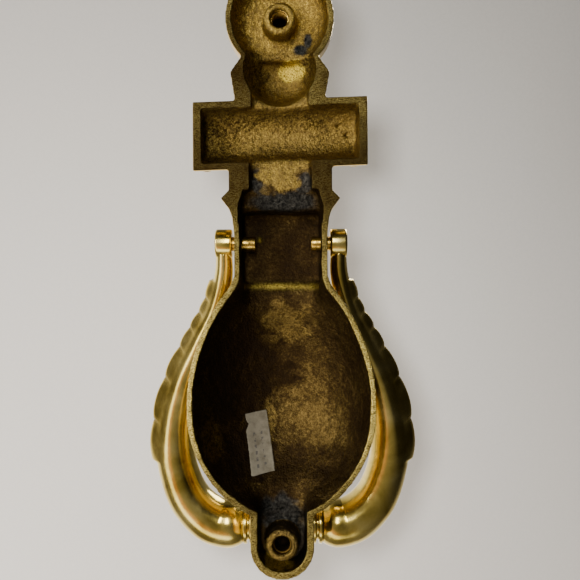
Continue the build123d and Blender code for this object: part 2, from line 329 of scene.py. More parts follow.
def cast_material():
    """Sand-cast brass: dark stains, painted shade, painted light and bright grain in the hollows, a filed
    rim with painted sparkle and painted reflection, a polished front.
    """
    n = Nodes("sand_cast_brass")
    rim = n.attribute("rim")
    front = n.attribute("front")
    gold_and_light = n.attribute("gold_and_light")
    soot_and_shade = n.attribute("soot_and_shade")
    steel = n.attribute("steel")

    # Hollows: brown patina broken by brighter grain on the high spots, darkened by painted shade and
    # lightened by painted light where stains() marks them
    broad = n.noise(95, 5, 0.6)
    grain = n.noise(900, 3, 0.65)
    fleck = n.noise(2400, 2, 0.6)
    wear_light_and_shade = n.math("ADD", n.math("MULTIPLY", broad, 0.80), n.math("MULTIPLY", grain, 0.62))
    wear_light_and_shade = n.math("ADD", wear_light_and_shade, n.math("MULTIPLY", gold_and_light, 0.42))
    wear_light_and_shade = n.math("SUBTRACT", wear_light_and_shade, n.math("MULTIPLY", soot_and_shade, 0.42))
    wear_light_and_shade = n.math("ADD", wear_light_and_shade, n.math("MULTIPLY", n.math("SUBTRACT", fleck, 0.5), 0.50))
    hollow = n.ramp(
        wear_light_and_shade,
        [
            (0.36, (0.024, 0.015, 0.008)),
            (0.58, (0.032, 0.019, 0.007)),
            (0.76, (0.062, 0.039, 0.012)),
            (0.98, (0.17, 0.115, 0.034)),
        ],
    )
    bright = n.ramp(fleck, [(0.40, (0.17, 0.110, 0.020)), (0.62, (0.62, 0.44, 0.090))])
    rubbed_and_lit = n.math("MULTIPLY", n.math("MULTIPLY", gold_and_light, gold_and_light), n.ramp(grain, [(0.40, 0.1), (0.60, 1.0)]))
    hollow = n.mix(rubbed_and_lit, hollow, bright)
    grey = n.ramp(grain, [(0.35, (0.010, 0.011, 0.011)), (0.65, (0.062, 0.061, 0.054))])
    hollow = n.mix(steel, hollow, grey)
    shiny = n.ramp(fleck, [(0.38, (0.14, 0.085, 0.012)), (0.54, (0.72, 0.56, 0.085))])
    hollow = n.mix(n.attribute("bare_and_highlight"), hollow, shiny)

    # Rim: short file marks across it at a slant, with brown left between them and fine painted sparkle from
    # the glint noise
    slant = n.stretched((900, 1, 3400), (0, math.radians(35), 0))
    scratch = n.noise(1.0, 4, 0.8, place=slant)
    glint = n.noise(3100, 2, 0.7)
    marks = n.math("ADD", n.math("MULTIPLY", scratch, 0.6), n.math("MULTIPLY", glint, 0.4))
    stain = n.noise(230, 5, 0.65)
    filed = n.ramp(
        marks,
        [
            (0.43, (0.030, 0.018, 0.004)),
            (0.49, (0.36, 0.26, 0.055)),
            (0.55, (1.0, 0.82, 0.25)),
        ],
    )
    filed = n.mix(n.ramp(stain, [(0.48, 0.0), (0.66, 0.60)]), filed, (0.040, 0.022, 0.006))
    # painted reflection: the rim's brightness is set by height
    filed = n.mix(n.attribute("rim_reflection"), (0.013, 0.0055, 0.0015), filed)

    # Front and sides: polished, with darker brass patches at random
    polish = n.noise(60, 4, 0.55)
    smooth = n.ramp(polish, [(0.35, (0.48, 0.32, 0.075)), (0.62, (0.72, 0.53, 0.17))])

    colour = n.mix(front, hollow, smooth)
    colour = n.mix(rim, colour, filed)
    rough = n.ramp(wear_light_and_shade, [(0.45, 0.60), (0.85, 0.36)])
    rough = n.mix(front, rough, n.ramp(polish, [(0.3, 0.16), (0.7, 0.30)]))
    rough = n.mix(rim, rough, n.ramp(marks, [(0.3, 0.50), (0.7, 0.30)]))

    pitted = n.math("MULTIPLY", n.math("SUBTRACT", 1.0, front), n.math("SUBTRACT", 1.0, rim))
    sand = n.math("ADD", n.noise(1500, 4, 0.7), n.math("MULTIPLY", n.cells(1300), 0.35))
    normal = n.bump(sand, 0.00034, pitted)
    normal = n.bump(marks, 0.00020, rim, normal)
    normal = n.bump(n.noise(700, 2, 0.5), 0.00001, front, normal)
    return n.finish(colour, rough, normal)


def handle_material():
    """Polished brass with a thin uneven tarnish, and painted shade along the leaf veins, which are not cut
    into the mesh.
    """
    n = Nodes("polished_brass")
    tarnish = n.noise(75, 5, 0.6, distort=0.4)
    haze = n.noise(240, 4, 0.6)
    vein_shade = n.attribute("vein_shade")
    colour = n.ramp(
        tarnish,
        [
            (0.36, (0.42, 0.31, 0.060)),
            (0.52, (0.58, 0.45, 0.12)),
            (0.70, (0.68, 0.56, 0.20)),
        ],
    )
    # painted shade: darker and rougher along the leaf veins
    colour = n.mix(n.math("MULTIPLY", vein_shade, 0.7), colour, (0.075, 0.045, 0.010))
    clouded = n.math("ADD", n.math("MULTIPLY", haze, 0.6), n.math("MULTIPLY", tarnish, 0.4))
    rough = n.ramp(clouded, [(0.35, 0.13), (0.65, 0.27)])
    rough = n.mix(vein_shade, rough, (0.45, 0.45, 0.45))
    lines = n.noise(1.0, 2, 0.5, place=n.stretched((1500, 1500, 120)))
    normal = n.bump(lines, 0.000012, 0.5)
    normal = n.bump(n.noise(420, 3, 0.6), 0.000018, 0.6, normal)
    return n.finish(colour, rough, normal)


def pin_material():
    """Turned brass rod with fine tool lines round it."""
    n = Nodes("turned_brass")
    lines = n.noise(1.0, 2, 0.6, place=n.stretched((5200, 260, 260)))
    dirt = n.noise(420, 4, 0.6)
    colour = n.ramp(
        dirt,
        [
            (0.36, (0.12, 0.07, 0.015)),
            (0.55, (0.55, 0.37, 0.075)),
            (0.75, (0.80, 0.60, 0.17)),
        ],
    )
    normal = n.bump(lines, 0.00003, 0.8)
    return n.finish(colour, n.ramp(dirt, [(0.35, 0.42), (0.6, 0.22)]), normal)


def thread_material(name, bright_depth):
    """Cut thread with painted shade: bright at the mouth of the hole, painted darker down it, dark at a
    depth in millimetres.
    """
    n = Nodes(name)
    split = n.tree.nodes.new("ShaderNodeSeparateXYZ")
    n.link(n.place, split.inputs[0])
    depth = n.math("MULTIPLY", split.outputs[1], -1 / (bright_depth * MM))
    grease = n.math("MULTIPLY", n.math("SUBTRACT", n.noise(700, 3, 0.6), 0.5), 0.5)
    shade = n.math("ADD", depth, grease)
    colour = n.ramp(
        shade,
        [
            (0.10, (0.55, 0.38, 0.09)),
            (0.55, (0.16, 0.095, 0.02)),
            (0.95, (0.012, 0.008, 0.004)),
        ],
    )
    return n.finish(colour, n.ramp(shade, [(0.2, 0.26), (0.8, 0.6)]))


def paper_material():
    """Dull white paper with grime, and two rows of short marks that stand for faded print."""
    n = Nodes("label_paper")
    spread = n.tree.nodes.new("ShaderNodeUVMap")
    spread.uv_map = "sheet"
    split = n.tree.nodes.new("ShaderNodeSeparateXYZ")
    n.link(spread.outputs["UV"], split.inputs[0])
    across = split.outputs[0]
    along = split.outputs[1]
    grime = n.noise(260, 5, 0.65)
    fibre = n.noise(2600, 3, 0.7)
    paper = n.ramp(
        grime,
        [
            (0.30, (0.14, 0.122, 0.080)),
            (0.52, (0.24, 0.217, 0.155)),
            (0.75, (0.30, 0.276, 0.205)),
        ],
    )
    marks = n.math("SINE", n.math("MULTIPLY", along, 62.0))
    marks = n.math("GREATER_THAN", marks, -0.15)
    faded = n.math("GREATER_THAN", n.noise(900, 2, 0.5), 0.44)
    printed = n.math("MULTIPLY", marks, faded)
    rows = 0.0
    for row in (0.36, 0.68):
        near = n.math("LESS_THAN", n.math("ABSOLUTE", n.math("SUBTRACT", across, row)), 0.045)
        rows = n.math("MAXIMUM", near, rows)
    inked = n.math("MULTIPLY", printed, rows)
    inked = n.math("MULTIPLY", inked, n.math("LESS_THAN", along, 0.66))
    inked = n.math("MULTIPLY", inked, n.math("GREATER_THAN", along, 0.10))
    colour = n.mix(n.math("MULTIPLY", inked, 0.75), paper, (0.075, 0.072, 0.07))
    normal = n.bump(fibre, 0.00003, 0.7)
    return n.finish(colour, n.ramp(fibre, [(0.3, 0.8), (0.7, 0.95)]), normal, metallic=0.0)


# Backplate


def welded_copy(node):
    """A closed copy of a CAD node's mesh."""
    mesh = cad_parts[node].data.copy()
    work = bmesh.new()
    work.from_mesh(mesh)
    bmesh.ops.remove_doubles(work, verts=work.verts, dist=0.002 * MM)
    work.to_mesh(mesh)
    work.free()
    return mesh


def remeshed(mesh, voxel):
    """The mesh as even quads."""
    carrier = bpy.data.objects.new("carrier", mesh)
    bpy.context.scene.collection.objects.link(carrier)
    modifier = carrier.modifiers.new("even", "REMESH")
    modifier.mode = "VOXEL"
    modifier.voxel_size = voxel
    graph = bpy.context.evaluated_depsgraph_get()
    even = bpy.data.meshes.new_from_object(carrier.evaluated_get(graph))
    bpy.data.objects.remove(carrier)
    return even


def behind_wall(mesh, points, normals):
    """1 for each point in a hollow, where the plate's own metal lies in front of it."""
    work = bmesh.new()
    work.from_mesh(mesh)
    tree = BVHTree.FromBMesh(work)
    work.free()
    forward = Vector((0, -1, 0))
    starts = (points + 0.25 * normals) * MM
    hidden = np.zeros(len(points))
    for index, start in enumerate(starts):
        hit = tree.ray_cast(Vector(start), forward)
        hidden[index] = hit[0] is not None
    return hidden


def cast_surface(points, normals, hollow):
    """Points moved along their normals by the grain of the sand mould."""
    lumps = 0.22 * noise(points, 6.0, 1) + 0.15 * noise(points, 2.6, 2)
    grains = 0.085 * noise(points, 1.25, 3) + 0.05 * noise(points, 0.85, 4)
    folds = 0.16 * noise(points, (7.0, 3.0, 1.1), 5)
    x, y, z = points.T
    neck = np.clip((z + 4) / 4, 0, 1) * np.clip((26 - z) / 4, 0, 1) * (np.abs(x) < 14)
    lift = lumps + grains + folds * neck
    nib = np.exp(-(((x - 7.6) / 0.6) ** 2) - ((z - 15.0) / 0.7) ** 2) * (y < -12)
    lift = lift + 1.3 * nib - 0.9 * pits(points)
    return points + normals * (lift * hollow)[:, None]


def soft_bosses(points):
    """Chamfers the mouths of the fixing holes and rounds off the bosses round them."""
    x, y, z = points.T
    z_from = np.abs(z) - HOLE_Z
    radius = np.hypot(x, z_from)
    near_mouth = np.clip(1 + y / 0.7, 0, 1) * np.clip((4.3 - radius) / 1.3, 0, 1) * (radius > 2.6)
    growth = 1 + 0.5 * near_mouth / np.maximum(radius, 1)
    shoulder = np.clip((radius - 4.3) / 1.3, 0, 1) ** 2 * (radius < 6.2) * (y > -2.5)
    moved = points.copy()
    moved[:, 0] = x * growth
    moved[:, 1] = y - 0.9 * shoulder
    moved[:, 2] = np.sign(z) * (HOLE_Z + z_from * growth)
    return moved


def pits(points):
    """1 in two small gas holes in the bar."""
    x, y, z = points.T
    depth = np.zeros(len(points))
    for pit_x, pit_z in ((-20.0, 53.0), (-22.7, 50.2)):
        depth = np.maximum(depth, np.exp(-(((x - pit_x) ** 2 + (z - pit_z) ** 2) / 0.35)) * (y < -3))
    return depth


def bar_sag(points):
    """The bar was cast slightly crooked: its +X end hangs lower."""
    x = points[:, 0]
    z = points[:, 2]
    along_bar = np.clip((19 - np.abs(z - BAR_Z)) / 6, 0, 1)
    return BAR_SLOPE * x * along_bar


def rim_reflection_by_height(points):
    """How bright the filed rim is painted, as a painted reflection of the lamps: brown at top and foot,
    golden by the body, lighter at -X by the knop.
    """
    x = points[:, 0]
    z = points[:, 2]
    heights = [-99, -88, -74, -66, -54, -36, -18, -4, 12, 26, 40, 56, 70, 84, 96, 106]
    reflection_levels = [0.42, 0.42, 0.26, 0.40, 0.95, 1.0, 0.75, 0.42, 0.30, 0.07, 0.05, 0.12, 0.03, 0.10, 0.22, 0.22]
    return np.interp(z, heights, reflection_levels) + 0.09 * (x < 0) * np.clip((z - 54) / 4, 0, 1)


def stains(points, hollow):
    """How bright, sooty, steel-grey and worn through to the metal each point of the hollows is, from 0 to
    1; the bright and sooty values also hold painted light and painted shade.
    """
    x, y, z = points.T
    bare_and_highlight = np.zeros(len(points))
    gold_and_light = np.zeros(len(points))
    soot_and_shade = np.zeros(len(points))
    steel = np.zeros(len(points))

    # Disc, knop and bar are mostly bright; the knop has one patch that was rubbed clean
    gold_and_light = np.maximum(gold_and_light, 0.95 * np.clip((z - 76) / 4, 0, 1))
    gold_and_light = np.maximum(gold_and_light, 0.64 * np.clip((z - 37) / 3, 0, 1))
    gold_and_light = np.maximum(gold_and_light, 0.8 * patch(points, (0.6, -4.0, 37.0), (7.4, 4.0, 6.6), 12, 0.45))
    bare_and_highlight = np.maximum(bare_and_highlight, patch(points, (-4.0, -9.0, 74.0), (3.9, 7.0, 3.1), 11, 0.4))
    # painted shade on the knop's +X side, turned away from the light
    soot_and_shade = np.maximum(soot_and_shade, 0.9 * patch(points, (9.5, -6.0, 71.0), (5.5, 9.0, 8.0), 13))
    soot_and_shade = np.maximum(soot_and_shade, 0.75 * patch(points, (-10.5, -6.0, 71.0), (3.5, 8.0, 6.0), 14))
    # painted shade at the bar's +X end and along its upper wall, where the light doesn't reach
    soot_and_shade = np.maximum(soot_and_shade, 0.9 * patch(points, (24.0, -6.0, 46.0), (8.0, 9.0, 9.0), 15))
    soot_and_shade = np.maximum(soot_and_shade, 0.45 * patch(points, (4.0, -8.0, 55.0), (18.0, 6.0, 3.0), 29, 0.4))
    # painted shade: the two gas holes are painted black
    soot_and_shade = np.maximum(soot_and_shade, pits(points))
    steel = np.maximum(steel, patch(points, (-6.8, -6.0, 79.9), (2.5, 5.0, 2.2), 16))
    steel = np.maximum(steel, patch(points, (-9.6, -6.0, 83.2), (1.5, 5.0, 2.9), 16))

    # Neck: dull grey slope under the bar, brown floor, one bright nib
    steel = np.maximum(steel, 0.95 * patch(points, (-1.0, -9.0, 28.0), (13.0, 7.0, 3.8), 17, 0.15))
    steel = np.maximum(steel, 0.9 * patch(points, (7.5, -3.0, 34.0), (2.6, 4.0, 5.0), 18))
    steel = np.maximum(steel, 0.9 * patch(points, (-8.0, -3.0, 33.0), (2.8, 4.0, 3.6), 19))
    steel = steel * (1 - patch(points, (0.6, -4.0, 37.0), (7.4, 4.0, 6.6), 12, 0.45))
    soot_and_shade = np.maximum(soot_and_shade, 0.35 * np.clip((24 - z) / 3, 0, 1) * np.clip(z / 3, 0, 1))
    bare_and_highlight = np.maximum(bare_and_highlight, np.exp(-(((x - 7.6) / 0.6) ** 2) - ((z - 15.0) / 0.7) ** 2))

    # Step into the body: a painted highlight along the ridge, where the light catches its riser
    ridge = np.exp(-(((z + 1.4) / 0.9) ** 2)) * (np.abs(x) < 13) * (y < -8)
    gold_and_light = np.maximum(gold_and_light, 0.85 * ridge)
    bare_and_highlight = np.maximum(bare_and_highlight, 0.80 * ridge * np.clip(1 + noise(points, 2.2, 35), 0, 1))

    # Body: black on the +X side and across the deep middle, warm brass on the -X side and at the foot:
    # painted shade on the walls turned away from the light at +X and painted light on those turned towards
    # it, over the brown patina
    soot_and_shade = np.maximum(soot_and_shade, 0.52 * patch(points, (15.0, -16.0, -34.0), (13.0, 12.0, 22.0), 21, 0.4))
    soot_and_shade = np.maximum(soot_and_shade, 0.50 * patch(points, (2.0, -22.0, -33.0), (9.0, 6.0, 5.5), 22, 0.4))
    soot_and_shade = np.maximum(soot_and_shade, 0.45 * patch(points, (12.0, -14.0, -60.0), (9.0, 10.0, 12.0), 23, 0.4))
    soot_and_shade = np.maximum(soot_and_shade, 0.30 * patch(points, (-6.0, -14.0, -66.0), (14.0, 10.0, 9.0), 30, 0.4))
    gold_and_light = np.maximum(gold_and_light, 0.20 * patch(points, (-12.0, -18.0, -48.0), (16.0, 12.0, 16.0), 24, 0.4))
    gold_and_light = np.maximum(gold_and_light, 0.40 * patch(points, (4.5, -20.0, -50.0), (2.4, 6.0, 9.0), 25))
    gold_and_light = np.maximum(gold_and_light, 0.12 * patch(points, (-3.0, -14.0, -68.0), (13.0, 10.0, 6.0), 26, 0.4))
    gold_and_light = np.maximum(gold_and_light, 0.36 * patch(points, (-2.0, -16.0, -14.0), (10.0, 8.0, 8.0), 27, 0.4))
    gold_and_light = np.maximum(gold_and_light, 0.40 * patch(points, (25.0, -9.0, -56.0), (4.0, 8.0, 9.0), 28))

    # Foot: blue-grey with a bright patch under the boss
    steel = np.maximum(steel, 0.95 * patch(points, (0.0, -7.0, -80.0), (8.5, 9.0, 6.5), 31))
    steel = np.maximum(steel, 0.8 * patch(points, (-6.5, -6.0, -90.0), (3.0, 8.0, 8.0), 32))
    boss = np.hypot(x, z + HOLE_Z) < 6.0
    steel = np.where(boss, 0.25 * steel, steel)
    gold_and_light = np.maximum(gold_and_light, 0.50 * boss)
    bare_and_highlight = np.maximum(bare_and_highlight, 0.8 * patch(points, (2.0, -5.0, -95.2), (5.0, 7.0, 2.2), 33))
    gold_and_light = np.maximum(gold_and_light, 0.5 * (np.hypot(x, z - HOLE_Z) < 6.4))
    soot_and_shade = soot_and_shade * (1 - 0.8 * np.clip(gold_and_light - 0.5, 0, 1))
    # painted shade: the bores are darkened with depth, from 4.5 mm in the upper one and 1 mm in the lower
    # one, and lose their bright marks
    in_bore = np.hypot(x, np.abs(z) - HOLE_Z) < HOLE_R + 0.5
    soot_and_shade = np.maximum(soot_and_shade, in_bore * np.clip((-y - np.where(z > 0, 4.5, 1.0)) / 1.5, 0, 1))
    gold_and_light = gold_and_light * np.where(in_bore & (y < -2), 0.0, 1.0)
    return bare_and_highlight * hollow, gold_and_light * hollow, soot_and_shade * hollow, steel * hollow


def store(mesh, name, values):
    layer = mesh.attributes.new(name, "FLOAT", "POINT")
    layer.data.foreach_set("value", np.asarray(values, dtype=np.float32))


def backplate(material):
    """The casting with a sandy inside, a flat filed rim and a smooth front."""
    source = welded_copy("backplate")
    mesh = remeshed(source, CAST_VOXEL)
    points = coordinates(mesh)
    normals = vertex_normals(mesh)
    pairs = edge_pairs(mesh)

    hidden = behind_wall(source, points, normals)
    from_hole = np.hypot(points[:, 0], np.abs(points[:, 2]) - HOLE_Z)
    rim = (points[:, 1] > -0.3) & (normals[:, 1] > 0.75) & (from_hole > 6.4)
    bore = from_hole < HOLE_R + 0.9
    hollow = np.where(rim, 0, hidden)
    front = np.where(rim, 0, 1 - hidden)
    hollow = relaxed(hollow, pairs, 3, 0.5)
    front = relaxed(front, pairs, 2, 0.5)
    rim = relaxed(rim.astype(float), pairs, 1, 0.4)

    deep = np.clip((-0.6 - points[:, 1]) / 1.5, 0, 1)
    points = relaxed(points, pairs, 3, np.where(bore, 0.0, 0.5 * hollow + 0.35 * (front > 0.9)))
    points = relaxed(points, pairs, 40, np.where(bore, 0.0, 0.6 * hollow * deep))
    steps = np.maximum(np.abs(points[:, 2] + 7) < 7, np.abs(points[:, 2] + 73) < 7)
    steps = relaxed(steps.astype(float), pairs, 12, 0.6)
    points = relaxed(points, pairs, 160, np.where(bore, 0.0, 0.7 * hollow * deep * steps))
    set_coordinates(mesh, points)
    normals = vertex_normals(mesh)
    points = cast_surface(points, normals, np.where(bore, 0.0, hollow))
    points[:, 1] = np.minimum(points[:, 1], 0)
    points = soft_bosses(points)
    points[:, 2] += bar_sag(points)
    set_coordinates(mesh, points)

    bare_and_highlight, gold_and_light, soot_and_shade, steel = stains(points, hollow)
    store(mesh, "rim", rim)
    store(mesh, "front", front)
    store(mesh, "bare_and_highlight", bare_and_highlight)
    store(mesh, "gold_and_light", gold_and_light)
    store(mesh, "soot_and_shade", soot_and_shade)
    store(mesh, "steel", steel)
    store(mesh, "rim_reflection", rim_reflection_by_height(points))
    mesh.materials.clear()
    mesh.materials.append(material)
    mesh.shade_smooth()
    piece = bpy.data.objects.new("backplate_casting", mesh)
    bpy.context.scene.collection.objects.link(piece)
    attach(piece, "plate")
    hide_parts("backplate")
    return piece


def thread(name, z, material):
    """Helical ridge of a tapped hole, on the wall of its plain bore."""
    per_turn = 40
    turns = (HOLE_MOUTH_Y - HOLE_BOTTOM_Y) / THREAD_PITCH - 1
    count = int(turns * per_turn)
    half = 0.46 * THREAD_PITCH
    flat = 0.10 * THREAD_PITCH
    profile = [
        (HOLE_R + 0.05, half),
        (HOLE_R - THREAD_HEIGHT, flat),
        (HOLE_R - THREAD_HEIGHT, -flat),
        (HOLE_R + 0.05, -half),
    ]
    vertices = []
    for step in range(count):
        angle = 2 * math.pi * step / per_turn
        middle = HOLE_MOUTH_Y - half - THREAD_PITCH * step / per_turn
        fade = min(1.0, step / (0.5 * per_turn), (count - 1 - step) / (0.5 * per_turn))
        for radius, offset in profile:
            radius = HOLE_R + 0.05 + (radius - HOLE_R - 0.05) * fade
            vertices.append((radius * math.cos(angle), middle + offset, z + radius * math.sin(angle)))
    faces = grid_faces(count, len(profile), True)
    faces.append(tuple(range(len(profile)))[::-1])
    last = (count - 1) * len(profile)
    faces.append(tuple(range(last, last + len(profile))))
    return mesh_piece(name, vertices, faces, "plate", "cast_brass", material)


# Knocker


def along_stations(count):
    """Smooth middle line through the stations: count rows of x, y, z, half width, half thickness."""
    stations = np.array(ARM_STATIONS)
    knots = np.concatenate([[0], np.cumsum(np.linalg.norm(np.diff(stations[:, :3], axis=0), axis=1))])
    slopes = np.gradient(stations, knots, axis=0)
    slopes[-1, :3] = np.array([-1, 0, 0])
    rows = []
    for place in np.linspace(0, knots[-1], count):
        index = min(np.searchsorted(knots, place, side="right") - 1, len(knots) - 2)
        span = knots[index + 1] - knots[index]
        t = (place - knots[index]) / span
        rows.append(
            (2 * t**3 - 3 * t**2 + 1) * stations[index]
            + (t**3 - 2 * t**2 + t) * span * slopes[index]
            + (3 * t**2 - 2 * t**3) * stations[index + 1]
            + (t**3 - t**2) * span * slopes[index + 1]
        )
    return np.array(rows)


def lobe(z):
    """(how far a leaf lobe stands out, how near its notch is, its size) at a height, each 0 to 1."""
    for upper, lower in zip(LEAF_NOTCH_Z, LEAF_NOTCH_Z[1:]):
        if lower < z <= upper:
            t = (upper - z) / (upper - lower)
            swell = math.sin(math.pi * t**1.25) ** 0.45
            return swell, t, (upper - lower) / 14.0
    return 0.0, 0.5, 0.0


def in_leaf(z, fade):
    """1 beside the leaf, falling to 0 at each end over a length in millimetres."""
    above = (LEAF_NOTCH_Z[0] - z) / fade
    below = (z - LEAF_NOTCH_Z[-1]) / fade
    return min(1.0, max(0.0, above)) * min(1.0, max(0.0, below))


def arm_sweep(side):
    """One arm and crescent: a rounded bar whose outer edge spreads into a scalloped leaf."""
    rows = 420
    columns = 96
    line = along_stations(rows)
    centres = line[:, :3]
    tangents = np.gradient(centres, axis=0)
    tangents /= np.linalg.norm(tangents, axis=1)[:, None]
    vertices = []
    vein_shades = []
    for centre, tangent, (half_width, half_thickness) in zip(centres, tangents, line[:, 3:]):
        outward = np.cross(tangent, np.array([0, 1, 0]))
        outward /= np.linalg.norm(outward)
        depthward = np.cross(tangent, outward)
        for column in range(columns):
            angle = 2 * math.pi * column / columns
            reach = math.cos(angle)
            rise = math.sin(angle)
            outer = max(0.0, reach)
            # The veins lean down the arm, so a lobe is read a little higher up on the ridge
            swell, t, size = lobe(centre[2] + 2.4 * (1 - outer))
            leaf = in_leaf(centre[2], 1.0)
            blade = (0.9 + 1.25 * (0.4 + 0.6 * size) * swell) * outer**7 * leaf
            vein = math.exp(-((min(t, 1 - t) * 14.0 * max(size, 0.1) / 0.8) ** 2)) if size else 0.0
            # painted shade along each leaf vein, for the material only; the mesh has no groove here
            vein_shade = vein * max(0.0, (outer - 0.75) / 0.25) * leaf
            thin = 1 - 0.42 * outer**2 * in_leaf(centre[2], 14.0)
            width = half_width * reach + blade
            depth = half_thickness * rise * thin
            point = centre + outward * width + depthward * depth
            vertices.append((side * point[0], point[1], point[2]))
            vein_shades.append(vein_shade)
    faces = grid_faces(rows, columns, True)
    faces.append(tuple(range(columns))[::-1])
    faces.append(tuple(range((rows - 1) * columns, rows * columns)))
    if side < 0:
        faces = [face[::-1] for face in faces]
    return vertices, faces, vein_shades


def turned(profile, segments, place):
    """Turned shape from (distance along the line, radius) pairs; place maps them to a point."""
    vertices = []
    for along, radius in profile:
        for step in range(segments):
            angle = 2 * math.pi * step / segments
            vertices.append(place(along, radius * math.cos(angle), radius * math.sin(angle)))
    faces = grid_faces(len(profile), segments, True)
    return vertices, faces


def rounded(corners, radius, steps=5):
    """Corners of an open outline, each but the ends softened by a small arc."""
    points = [corners[0]]
    for before, corner, after in zip(corners, corners[1:], corners[2:]):
        first = np.subtract(before, corner)
        second = np.subtract(after, corner)
        reach = min(radius, 0.45 * np.linalg.norm(first), 0.45 * np.linalg.norm(second))
        start = np.add(corner, first / np.linalg.norm(first) * reach)
        end = np.add(corner, second / np.linalg.norm(second) * reach)
        for step in range(steps + 1):
            t = step / steps
            points.append(tuple((1 - t) ** 2 * start + 2 * t * (1 - t) * np.array(corner) + t**2 * end))
    points.append(corners[-1])
    return points


def eye_ring(side):
    """Round eye at the top of an arm, with its hole for the pin."""
    corners = [
        (EYE_INNER_X, PIN_R),
        (EYE_INNER_X, EYE_R),
        (EYE_OUTER_X, EYE_R),
        (EYE_OUTER_X, PIN_R),
        (EYE_INNER_X, PIN_R),
    ]
    profile = rounded(corners, 0.9)
    return turned(profile, 96, lambda a, u, v: (side * a, PIVOT_Y + u, PIVOT_Z + v))


def striker_shape():
    """Turned boss with two ribs at each end."""
    end = STRIKER_HALF_WIDTH + 3.4 * RIB_WIDTH
    belly = []
    for step in range(41):
        angle = math.radians(18 + 144 * step / 40)
        belly.append((-STRIKER_HALF_WIDTH * math.cos(angle), STRIKER_R * math.sin(angle)))
    belly = [point for point in belly if point[1] > RIB_GROOVE_R]
    ribs = [
        (end, 0.3),
        (end, RIB_R),
        (end - RIB_WIDTH, RIB_R),
        (end - RIB_WIDTH, RIB_GROOVE_R),
        (end - 1.7 * RIB_WIDTH, RIB_GROOVE_R),
        (end - 1.7 * RIB_WIDTH, RIB_R),
        (end - 2.7 * RIB_WIDTH, RIB_R),
        (end - 2.7 * RIB_WIDTH, RIB_GROOVE_R),
    ]
    left = rounded([(-a, r) for a, r in ribs], 0.35)
    right = rounded(ribs, 0.35)[::-1]
    profile = left + belly + right
    return turned(profile, 128, lambda a, u, v: (a, STRIKER_Y + u, STRIKER_Z + v))


def anvil_shape():
    """Short round foot of the boss that meets the pad."""
    corners = [(STRIKER_Y, ANVIL_R), (ANVIL_FACE_Y, ANVIL_R), (ANVIL_FACE_Y, 0.05)]
    profile = rounded(corners, 0.6)
    return turned(profile, 96, lambda a, u, v: (u, a, STRIKER_Z + v))


def capped(part, segments):
    """A turned shape closed at both ends."""
    vertices, faces = part
    faces = list(faces)
    faces.append(tuple(range(segments))[::-1])
    faces.append(tuple(range(len(vertices) - segments, len(vertices))))
    return vertices, faces


def outward_facing(mesh):
    work = bmesh.new()
    work.from_mesh(mesh)
    bmesh.ops.remove_doubles(work, verts=work.verts, dist=0.0005 * MM)
    bmesh.ops.recalc_face_normals(work, faces=work.faces)
    work.to_mesh(mesh)
    work.free()
    mesh.shade_smooth()


def knocker(material):
    parts = []
    vein_shades = []
    for side in (1, -1):
        vertices, faces, arm_vein_shades = arm_sweep(side)
        parts.append((vertices, faces))
        vein_shades.extend(arm_vein_shades)
    for side in (1, -1):
        parts.append(eye_ring(side))
    parts.append(capped(striker_shape(), 128))
    parts.append(capped(anvil_shape(), 96))
    vertices, faces = joined(parts)
    piece = mesh_piece("knocker_casting", vertices, faces, "handle", "polished_brass", material, "knocker")
    vein_shades.extend([0.0] * (len(vertices) - len(vein_shades)))
    store(piece.data, "vein_shade", vein_shades)
    outward_facing(piece.data)
    return piece


def pivot_pin(node, material):
    """Turned pin with chamfered ends."""
    low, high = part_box(node)
    start = low[0] / MM
    end = high[0] / MM
    profile = rounded([(start, 0.05), (start, PIN_R - 0.02), (end, PIN_R - 0.02), (end, 0.05)], 0.5)
    shape = capped(turned(profile, 64, lambda a, u, v: (a, PIVOT_Y + u, PIVOT_Z + v)), 64)
    piece = mesh_piece(node + "_turned", *shape, "handle", "pin_brass", material, node)
    outward_facing(piece.data)
    return piece


# Label


